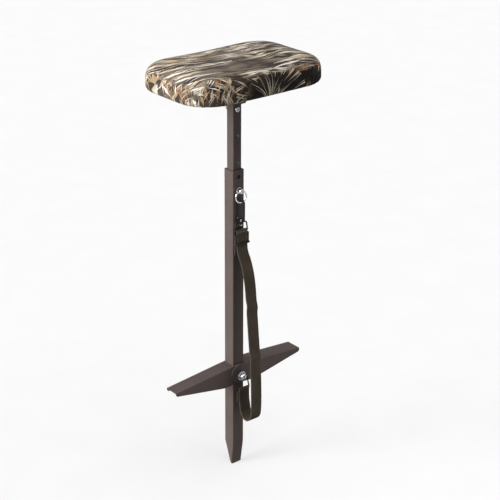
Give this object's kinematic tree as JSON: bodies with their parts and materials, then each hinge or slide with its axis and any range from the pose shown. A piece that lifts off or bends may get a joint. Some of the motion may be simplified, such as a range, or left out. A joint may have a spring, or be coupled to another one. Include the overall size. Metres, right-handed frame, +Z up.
{
  "type": "spiked single-leg field stool",
  "caption": "Spiked single-leg field stool: padded seat on a telescoping square post, fold-down foot arms, pull pin and carrying strap.",
  "frame": {"origin": "centre of the spike's bottom end", "axes": "+Z up the pole, +X along the right foot arm, -Y the pole's face with the pull pin and strap"},
  "size_m": [0.3, 0.2, 0.81],
  "materials": {
    "taupe_steel": "satin powder coat",
    "black_steel": "satin",
    "zinc": "bright zinc",
    "chrome": "polished",
    "camo_fabric": "woven, reed and leaf pattern",
    "foam": "open-cell foam",
    "plywood": "raw plywood",
    "webbing": "ribbed webbing",
    "black_plastic": "moulded"
  },
  "bodies": {
    "pole": {"outer_tube": "taupe_steel", "hub_bolt": "zinc", "hub_nut": "chrome", "hub_washers": "chrome", "lower_loop": "black_steel", "strap_webbing": "webbing", "strap_lower_fold": "webbing"},
    "seat_post": {"inner_tube": "taupe_steel", "inner_tube_plug": "black_plastic", "seat_bracket": "black_steel", "bracket_screws": "zinc", "tee_nuts": "zinc", "seat_board": "plywood", "seat_foam": "foam", "seat_cover": "camo_fabric", "seat_bolt": "zinc", "seat_bolt_nut": "zinc"},
    "left_foot": {"left_arm": "taupe_steel"},
    "right_foot": {"right_arm": "taupe_steel"},
    "pull_pin": {"lock_pin": "chrome", "pin_ring": "chrome", "hook_body": "black_steel", "gate_pin": "zinc", "hook_swivel": "zinc", "upper_loop": "black_steel", "strap_slider": "black_plastic", "strap_upper_fold": "webbing"},
    "gate": {"hook_gate": "black_steel"}
  },
  "joints": [
    {"name": "seat_height", "type": "slide", "parent": "pole", "child": "seat_post", "axis": [0, 0, 1], "range_m": [-0.1, 0]},
    {"name": "left_arm_fold", "type": "hinge", "parent": "pole", "child": "left_foot", "pos_m": [0, 0, 0.198], "axis": [0, -1, 0], "range_deg": [0, 78]},
    {"name": "right_arm_fold", "type": "hinge", "parent": "pole", "child": "right_foot", "pos_m": [0, 0, 0.198], "axis": [0, 1, 0], "range_deg": [0, 78]},
    {"name": "pin_pull", "type": "slide", "parent": "pole", "child": "pull_pin", "axis": [0, -1, 0], "range_m": [0, 0.03], "deforming": ["strap_webbing"]},
    {"name": "hook_gate_swing", "type": "hinge", "parent": "pull_pin", "child": "gate", "pos_m": [-0.00376, -0.01552, 0.5195], "axis": [0.766, 0.6428, 0], "range_deg": [0, 16], "stiffness_Nm_per_rad": 0.02, "springref_deg": -11.46}
  ]
}
